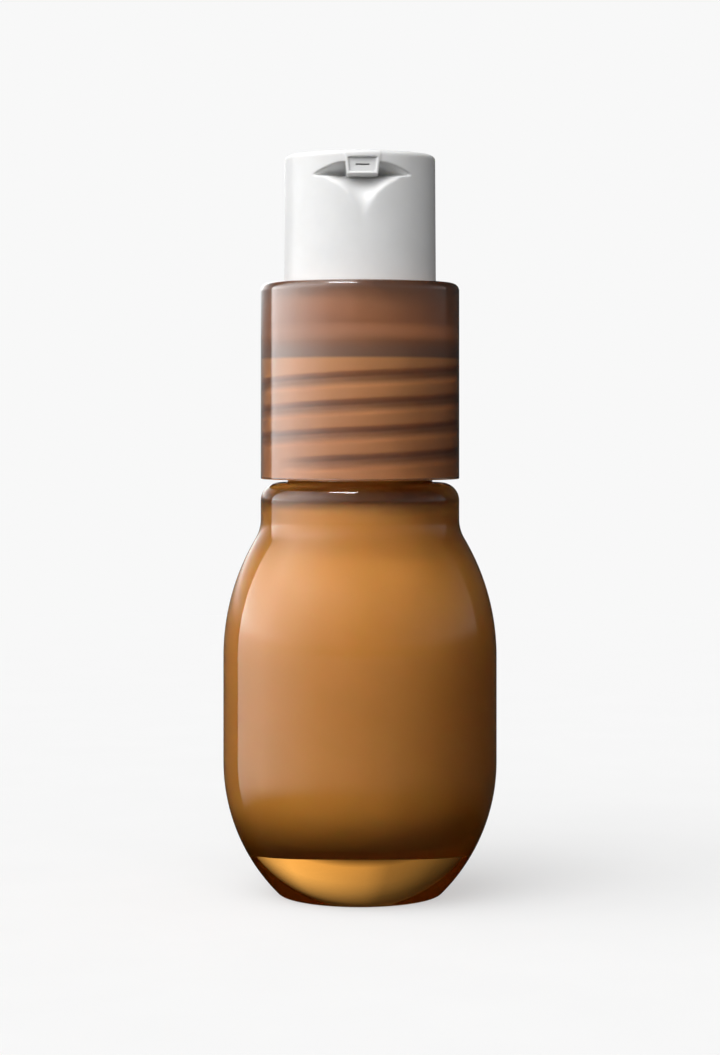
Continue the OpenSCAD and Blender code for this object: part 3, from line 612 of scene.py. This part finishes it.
def closure_shell():
    """A clear outer layer over an opaque inner face, which carries the thread."""
    outside = closure_outside()
    well = corner(WELL_MOUTH, WELL_LIP, (WELL_R, WEB_TOP), WELL_SOFT, 3)
    well += line((WELL_R, CLOSURE_TOP - WELL_FLAT), (WELL_R, WEB_TOP + WELL_FLAT), 1.5)
    well += flare()
    bore = line((CLOSURE_BORE, WEB_Z - FLARE_UNDER), (CLOSURE_BORE, CLOSURE_Z + BORE_FLAT), 0.1)
    rim = corner((CLOSURE_BORE, CLOSURE_TOP), (CLOSURE_BORE, CLOSURE_Z), (DRUM_R, CLOSURE_Z), RIM_IN, 4)
    bore_start = len(clean(outside + well))
    bore_end = len(clean(outside + well + bore))
    relief = thread(range(bore_start, bore_end), -CLOSURE_RELIEF, CLOSURE_THREAD)
    inner = range(len(outside) - 1, bore_end)
    o = lathe("closure_shell", clean(outside + well + bore + rim), SIDES, relief, closed=True, inner=inner)
    o.data.materials.append(RESIN)
    o.data.materials.append(CORE)
    return o


def closure_web():
    """The disc inside the closure that holds the pump down."""
    hole_top, hole_low = (WEB_HOLE, WEB_TOP), (WEB_HOLE, WEB_Z)
    outline = corner((CLOSURE_BORE, WEB_TOP), hole_top, hole_low, WEB_SOFT, 3)
    outline += corner(hole_top, hole_low, (CLOSURE_BORE, WEB_Z), WEB_SOFT, 3)
    outline += [(WEB_MID, WEB_Z), (CLOSURE_BORE - WEB_FLAT, WEB_Z)]
    outline += [(r - WEB_GAP, z) for r, z in flare()[::-1] if WEB_Z < z < WEB_TOP + WEB_FLAT]
    outline += [(WELL_R - WEB_FLAT, WEB_TOP), (WEB_MID, WEB_TOP)]
    o = lathe("closure_web", clean(outline), WEB_SIDES, closed=True)
    o.data.materials.append(CORE)
    return o


def closure():
    """The screw closure: its shell and its web turn together."""
    for piece in (closure_shell(), closure_web()):
        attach(piece, "closure_body")
        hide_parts("closure")


# Press cap: rows of points round its axis, each row a set of angles from the front, radii and a height
def scoop_radius(z):
    """Radius of the scoop round its own axis at a height, or 0 where there is none."""
    if z < SCOOP_Z or z > DOME_Z + DOME_R:
        return 0.0
    if z < SCOOP_CUT:
        return SCOOP_R - math.sqrt(max(SCOOP_ARC ** 2 - (z - SCOOP_Z) ** 2, 0))
    return min(SCOOP_R, math.sqrt(max(DOME_R ** 2 - (z - DOME_Z) ** 2, 0)))


def scoop_back_radius(z):
    """Radius of the face behind the scoop, inside the cap, or 0 where there is none."""
    arc_r = SCOOP_ARC - CAP_WALL
    if z < SCOOP_Z:
        return 0.0
    if z < SCOOP_Z + arc_r - BACK_END:
        return SCOOP_R - math.sqrt(arc_r ** 2 - (z - SCOOP_Z) ** 2)
    return SCOOP_R + CAP_WALL


def to_circle(phi, rho):
    """Way from the cap's axis to a circle of radius rho round the scoop's axis, or a large number."""
    side = SCOOP_Y * np.sin(phi)
    met = (np.abs(side) < rho) & (np.cos(phi) > 0)
    return np.where(met, SCOOP_Y * np.cos(phi) - np.sqrt(np.maximum(rho * rho - side * side, 0)), 1e3)


def cap_skin(z):
    """Radius of the slightly tapered skirt."""
    return CAP_R + (CAP_TOP_R - CAP_R) * (z - CAP_Z) / (CAP_TOP - CAP_Z)


def half_width(z, start, height, low, top):
    """Half the width of an upright trapezoid at a height, held at its ends below and above."""
    return (low + (top - low) * min(max((z - start) / height, 0), 1)) / 2


def mouth_half(z):
    """Half the width of the mouth."""
    return half_width(z, MOUTH_Z, MOUTH_H, MOUTH_LOW, MOUTH_TOP)


def spout_half(z):
    """Half the width of the spout."""
    return half_width(z, SPOUT_Z, SPOUT_H, SPOUT_LOW, SPOUT_TOP)


def cap_columns(z):
    """Angles of a row. They follow the slanted sides of mouth and spout, so that both stay straight."""
    mouth, spout, apart = mouth_half(z), spout_half(z), COLUMNS_APART
    on_mouth, on_spout, beside, behind = COLUMNS
    across = np.concatenate((np.linspace(0, mouth - apart, on_mouth),
                             np.linspace(mouth + apart, spout - apart, on_spout),
                             np.linspace(spout + apart, COLUMNS_NEAR, beside)))
    front = np.arcsin(across / (CAP_R + SPOUT_PROUD))
    half = np.concatenate((front, np.linspace(front[-1], math.pi, behind)[1:]))
    return np.concatenate((half, -half[-2:0:-1]))


def cap_heights():
    """Heights of the rows between the rims, in close pairs at the edges of the spout and the mouth."""
    edges = (SPOUT_Z, MOUTH_Z, MOUTH_Z + MOUTH_H, CAP_TOP - CAP_EDGE)
    heights = [np.linspace(*SKIRT_ROWS), np.arange(*SCOOP_ROWS), BELOW_SPOUT]
    for low, high, (after, before, step) in zip(edges, edges[1:], (MOUTH_ROWS, MOUTH_ROWS, HIGH_ROWS)):
        heights += [(low - ROW_PAIR, low + ROW_PAIR), np.arange(low + after, high - before, step)]
    return np.concatenate(heights)


def spout_face(phi, z):
    """Radii of the spout's front and sides, and 0 behind the axis."""
    side = spout_half(z) / np.maximum(np.abs(np.sin(phi)), 1e-6)
    return np.where(np.cos(phi) > 0, np.minimum(side, cap_skin(z) + SPOUT_PROUD), 0)


def cap_face(phi, z):
    """Radii of a row of the outside: skirt, scoop, spout and the floor of its mouth."""
    r = np.minimum(cap_skin(z), to_circle(phi, scoop_radius(z)))
    if z >= SPOUT_Z:
        r = np.maximum(r, spout_face(phi, z))
    if MOUTH_Z < z < MOUTH_Z + MOUTH_H:
        x = (CAP_R + SPOUT_PROUD) * np.sin(phi)
        inside = (np.abs(x) < mouth_half(z)) & (np.cos(phi) > 0)
        r = np.where(inside, (cap_skin(z) + SPOUT_PROUD - MOUTH_DEEP) / np.cos(phi), r)
    return r


def cap_top_rows(phi):
    """Rows of the rounded top edge and the flat top. The spout stands proud of both and fades inwards."""
    edge_z, edge_c = CAP_TOP - CAP_EDGE, cap_skin(CAP_TOP) - CAP_EDGE
    proud = np.maximum(spout_face(phi, edge_z) - cap_skin(edge_z), 0)
    rows = []
    for degrees in range(0, 91, 10):
        a = math.radians(degrees)
        rows.append((phi, edge_c + CAP_EDGE * math.cos(a) + proud, edge_z + CAP_EDGE * math.sin(a)))
    for share in TOP_SHARES:
        fade = max(0, (share - TOP_FADE_SHARE) / (1 - TOP_FADE_SHARE))
        rows.append((phi, edge_c * share + proud * fade, CAP_TOP))
    return rows


def cap_inner_rows(phi):
    """Rows of the inside, from the middle of the roof down to the lower rim."""
    whole = np.ones(len(phi))
    rows = [(phi, whole * r, CAP_ROOF) for r in ROOF_RADII]
    for z in (*np.linspace(*BACK_ROWS), *np.linspace(*LOW_ROWS)):
        reach = np.minimum(CAP_R - CAP_WALL, to_circle(phi, scoop_back_radius(z)))
        rows.append((phi, np.maximum(reach, CAP_INNER_LEAST), z))
    return rows


def row_points(rows):
    """Points of rows, with the front at -Y."""
    points = []
    for phi, r, z in rows:
        points += list(zip(r * np.sin(phi), -r * np.cos(phi), np.full(len(phi), float(z))))
    return points


def soften(points, row_count, first, end):
    """Rounds the edges of scoop and spout: the points of the front move towards their neighbours, in a few
    passes everywhere and in further ones beside and below the spout."""
    grid = np.array(points).reshape(row_count, -1, 3)
    x, y, z = grid[:, :, 0], grid[:, :, 1], grid[:, :, 2]
    soft = np.zeros(x.shape)
    soft[first:end] = 1
    soft *= np.abs(np.arctan2(x, -y)) < math.radians(SOFT_DEGREES)
    softer = soft * ((np.abs(x) > SPOUT_TOP / 2 + SOFT_BESIDE) | (z < SPOUT_Z - SOFT_BELOW))
    for k in range(SOFT_PASSES):
        mean = (np.roll(grid, 1, 1) + np.roll(grid, -1, 1)) / 4
        mean[1:-1] += (grid[2:] + grid[:-2]) / 4
        mean[0], mean[-1] = grid[0], grid[-1]
        weight = soft if k < SOFT_EVERYWHERE else softer
        grid = grid + weight[:, :, None] * SOFT_PULL * (mean - grid)
    return [tuple(v) for v in grid.reshape(-1, 3)]


def cap_mesh():
    """The cap as one closed skin: outside, flat top, roof inside and inner wall."""
    rim_columns = cap_columns(CAP_Z)
    top_columns = cap_columns(CAP_TOP)
    n = len(top_columns)
    rows = [(rim_columns, np.full(n, CAP_R - inset), CAP_Z + up) for inset, up in CAP_RIM]
    for z in cap_heights():
        phi = cap_columns(z)
        rows.append((phi, cap_face(phi, z), z))
    first_soft, end_soft = len(CAP_RIM) + SOFT_AFTER, len(rows) + SOFT_PAST
    rows += cap_top_rows(top_columns)
    inner_rows = cap_inner_rows(top_columns)
    verts = soften(row_points(rows), len(rows), first_soft, end_soft)
    top_pole = len(verts)
    verts.append((0, 0, CAP_TOP))
    roof = len(verts)
    verts += row_points(inner_rows)
    roof_pole = len(verts)
    verts.append((0, 0, CAP_ROOF))
    faces = []
    for i in range(len(rows) - 1):
        faces += bridge(i * n, (i + 1) * n, n)
    faces += fan((len(rows) - 1) * n, top_pole, n)
    faces += turned_round(fan(roof, roof_pole, n))
    for i in range(len(inner_rows) - 1):
        faces += bridge(roof + i * n, roof + (i + 1) * n, n)
    faces += bridge(roof + (len(inner_rows) - 1) * n, 0, n)
    return mesh_object("actuator_shell", verts, faces)


def cut_channel(cap_object):
    """Cuts the channel that holds the nozzle through the spout, and keeps the cut's edges sharp."""
    low, high = MOUTH_LOW / 2 - CHANNEL_GAP, MOUTH_TOP / 2 - CHANNEL_GAP
    bottom, top = MOUTH_Z + CHANNEL_GAP, MOUTH_Z + MOUTH_H - CHANNEL_GAP
    section = ((-low, bottom), (low, bottom), (high, top), (-high, top))
    ends = (-(CAP_TOP_R + SPOUT_PROUD - CHANNEL_FRONT), -CHANNEL_END)
    verts = [(x, y, z) for y in ends for x, z in section]
    faces = [(0, 1, 2, 3), (7, 6, 5, 4), (0, 4, 5, 1), (1, 5, 6, 2), (2, 6, 7, 3), (3, 7, 4, 0)]
    cutter = mesh_object("channel_cutter", verts, faces)
    cut = cap_object.modifiers.new("channel", "BOOLEAN")
    cut.operation = "DIFFERENCE"
    cut.object = cutter
    cut.solver = "MANIFOLD"
    bpy.context.view_layer.update()
    evaluated = cap_object.evaluated_get(bpy.context.evaluated_depsgraph_get())
    mesh = bpy.data.meshes.new_from_object(evaluated)
    cap_object.modifiers.clear()
    cap_object.data = mesh
    bpy.data.objects.remove(cutter)
    mesh.polygons.foreach_set("use_smooth", [True] * len(mesh.polygons))
    mesh.set_sharp_from_angle(angle=math.radians(SHARP_DEGREES))
    mesh.materials.clear()


def cap():
    """The white press cap with its scooped front and its spout."""
    o = cap_mesh()
    cut_channel(o)
    o.data.materials.append(SATIN)
    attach(o, "actuator")
    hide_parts("actuator_cap")


# Spring, and the solids that keep their CAD mesh
def spring():
    """A smooth coil of round wire, with flatter end turns."""
    rings, sides = 28, 12
    lift = SPRING_H - 2 * WIRE_R
    end = SPRING_END_SHARE * lift / SPRING_TURNS / 2
    pitch = (lift - 2 * end) / (SPRING_TURNS - 1)
    steps = SPRING_TURNS * rings
    verts, faces = [], []
    for i in range(steps + 1):
        turn = SPRING_TURNS * i / steps
        if turn < 0.5:
            rise = turn * 2 * end
        elif turn > SPRING_TURNS - 0.5:
            rise = lift - (SPRING_TURNS - turn) * 2 * end
        else:
            rise = end + (turn - 0.5) * pitch
        a = 2 * math.pi * turn
        for k in range(sides):
            b = 2 * math.pi * k / sides
            r = SPRING_R + WIRE_R * math.cos(b)
            verts.append((r * math.cos(a), r * math.sin(a), SPRING_Z + WIRE_R + rise + WIRE_R * math.sin(b)))
    for i in range(steps):
        faces += turned_round(bridge(i * sides, (i + 1) * sides, sides))
    faces.append(tuple(range(sides)))
    faces.append(tuple(steps * sides + k for k in reversed(range(sides))))
    o = mesh_object("return_coil", verts, faces)
    o.data.materials.append(STEEL)
    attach(o, "pump_unit")
    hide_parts("return_spring")
    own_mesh(o)


def plain_solids():
    """Materials of the solids that are shown as they are."""
    looks = {"neck_gasket": FOAM, "pump_housing": NATURAL, "stem_guide": WHITE, "stem": NATURAL,
             "piston_rod": WHITE, "piston": WHITE, "inlet_ball": STEEL, "dip_tube": NATURAL,
             "nozzle_core": SATIN}
    for name, look in looks.items():
        for slot in frame["nodes"][name].material_slots:
            slot.material = look


# Stage: floor, world, lamp, camera
def floor_material():
    """Pale to the camera and plain white further out, dim to light that bounces, and clear to mirrored and
    transmitted rays, so that glass shows the studio and no floor."""
    look, tree, shader, out = material("pale_floor")
    path = tree.nodes.new("ShaderNodeLightPath")
    grain = tints(tree, noise(tree, 60, 4), FLOOR_LOW, FLOOR_HIGH)
    colour = blend_colours(tree, "MIX", path.outputs["Is Diffuse Ray"], grain, (*FLOOR_BOUNCE, 1))
    put(shader, {"Base Color": colour, "Roughness": 0.9, "Specular IOR Level": 0.1})
    white = tree.nodes.new("ShaderNodeEmission")
    put(white, {"Color": (BACKDROP, BACKDROP, BACKDROP, 1)})
    place = tree.nodes.new("ShaderNodeNewGeometry")
    far = spread(tree, length(tree, place.outputs["Position"]), 0.55, 1.0, 0.03, 0.45)
    seen = maths(tree, "MULTIPLY", far, path.outputs["Is Camera Ray"])
    pale = blend_shaders(tree, seen, shader.outputs["BSDF"], white.outputs["Emission"])
    mirrored = maths(tree, "MAXIMUM", path.outputs["Is Glossy Ray"], path.outputs["Is Transmission Ray"])
    clear = tree.nodes.new("ShaderNodeBsdfTransparent")
    put(out, {"Surface": blend_shaders(tree, mirrored, pale, clear.outputs["BSDF"])})
    return look


def floor():
    """A round floor in rings that widen outwards."""
    angles = [2 * math.pi * k / FLOOR_SIDES for k in range(FLOOR_SIDES)]
    verts = [(0, 0, 0)]
    for r in FLOOR_RINGS:
        verts += [(r * math.cos(a), r * math.sin(a), 0) for a in angles]
    starts = [1 + i * FLOOR_SIDES for i in range(len(FLOOR_RINGS))]
    faces = fan(starts[0], 0, FLOOR_SIDES)
    for inside, outside in zip(starts, starts[1:]):
        faces += turned_round(bridge(inside, outside, FLOOR_SIDES))
    o = mesh_object("floor", verts, faces)
    o.data.materials.append(floor_material())


def direction_of(az, el):
    """Unit vector towards an azimuth and an elevation in degrees."""
    a, e = math.radians(az), math.radians(el)
    return Vector((math.sin(a) * math.cos(e), -math.cos(a) * math.cos(e), math.sin(e)))


def ring(tree, turn, azimuths, levels):
    """A level that changes with the azimuth, along a ramp whose white stands for TOP_LEVEL."""
    stops = [((az + 180) / 360, (level / TOP_LEVEL,) * 3) for az, level in zip(azimuths, levels)]
    return maths(tree, "MULTIPLY", ramp(tree, turn, stops), TOP_LEVEL)


def dome(tree, turn, z, azimuths, rings):
    """Rings of light at several heights, blended from each to the next."""
    level = ring(tree, turn, azimuths, rings[0][1])
    for (low, _), (high, levels) in zip(rings, rings[1:]):
        level = blend(tree, spread(tree, z, 0, 1, low, high), level, ring(tree, turn, azimuths, levels))
    return level


def round_light(tree, direction, az, el, power):
    """A soft round light in one direction, 1 at its middle."""
    toward = tree.nodes.new("ShaderNodeVectorMath")
    toward.operation = "DOT_PRODUCT"
    feed(toward.inputs[0], direction)
    feed(toward.inputs[1], direction_of(az, el))
    return maths(tree, "POWER", maths(tree, "MAXIMUM", toward.outputs["Value"], 0), power)


def world():
    """A pale studio: one level for the camera, and soft light from the left that the object mirrors."""
    studio = bpy.data.worlds.new("studio")
    bpy.context.scene.world = studio
    studio.use_nodes = True
    tree = studio.node_tree
    tree.nodes.clear()
    out = tree.nodes.new("ShaderNodeOutputWorld")
    back = tree.nodes.new("ShaderNodeBackground")
    put(out, {"Surface": back.outputs["Background"]})
    direction = tree.nodes.new("ShaderNodeTexCoord").outputs["Generated"]
    x, y, z = split(tree, direction)
    azimuth = maths(tree, "ARCTAN2", x, maths(tree, "MULTIPLY", y, -1))
    turn = spread(tree, azimuth, 0, 1, -math.pi, math.pi)
    key = maths(tree, "MULTIPLY", round_light(tree, direction, KEY_AZ, KEY_EL, KEY_POWER), KEY_LEVEL)
    around = ring(tree, turn, PLAIN_AZ, PLAIN)
    sides = blend(tree, spread(tree, z, 0, 1, *PLAIN_OVER), around, PLAIN_TOP)
    sides = maths(tree, "MULTIPLY", sides, spread(tree, z, PLAIN_LOW_SHARE, 1, *PLAIN_UNDER))
    plain = maths(tree, "ADD", sides, key)
    path = tree.nodes.new("ShaderNodeLightPath")
    level = blend(tree, path.outputs["Is Glossy Ray"], plain, dome(tree, turn, z, MIRRORED_AZ, MIRRORED))
    level = blend(tree, path.outputs["Is Transmission Ray"], level, dome(tree, turn, z, THROUGH_AZ, THROUGH))
    level = blend(tree, path.outputs["Is Camera Ray"], level, BACKDROP)
    put(back, {"Color": level, "Strength": 1.0})


def lamp(name, az, el, distance, width, height, watts):
    """A rectangular soft light in metres that faces the bottle and shows only in what is mirrored."""
    at = direction_of(az, el) * distance + LAMP_AIM
    light = bpy.data.lights.new(name, "AREA")
    light.shape = "RECTANGLE"
    light.size, light.size_y = width, height
    light.energy = watts
    o = bpy.data.objects.new(name, light)
    bpy.context.scene.collection.objects.link(o)
    o.location = at
    o.rotation_euler = (at - LAMP_AIM).to_track_quat("Z", "Y").to_euler()
    o.visible_transmission = False
    o.visible_diffuse = False


def camera():
    """Level, a little to the left, with the view shifted to where the photo has the bottle."""
    data = bpy.data.cameras.new("camera")
    o = bpy.data.objects.new("camera", data)
    bpy.context.scene.collection.objects.link(o)
    a, away = math.radians(CAMERA_TURN), CAMERA_AWAY * MM
    o.location = (-away * math.sin(a), -away * math.cos(a), CAMERA_UP * MM)
    o.rotation_euler = (math.radians(90), 0, -a)
    data.lens = LENS
    data.sensor_width = SENSOR
    data.shift_y = LENS_SHIFT
    data.clip_start, data.clip_end = 0.01, 50
    bpy.context.scene.camera = o


bottle()
lotion()
closure()
cap()
spring()
plain_solids()
floor()
world()
lamp("top_light", az=-36, el=66, distance=0.25, width=0.10, height=0.035, watts=0.252)
camera()
bpy.context.scene.view_settings.view_transform = "Standard"
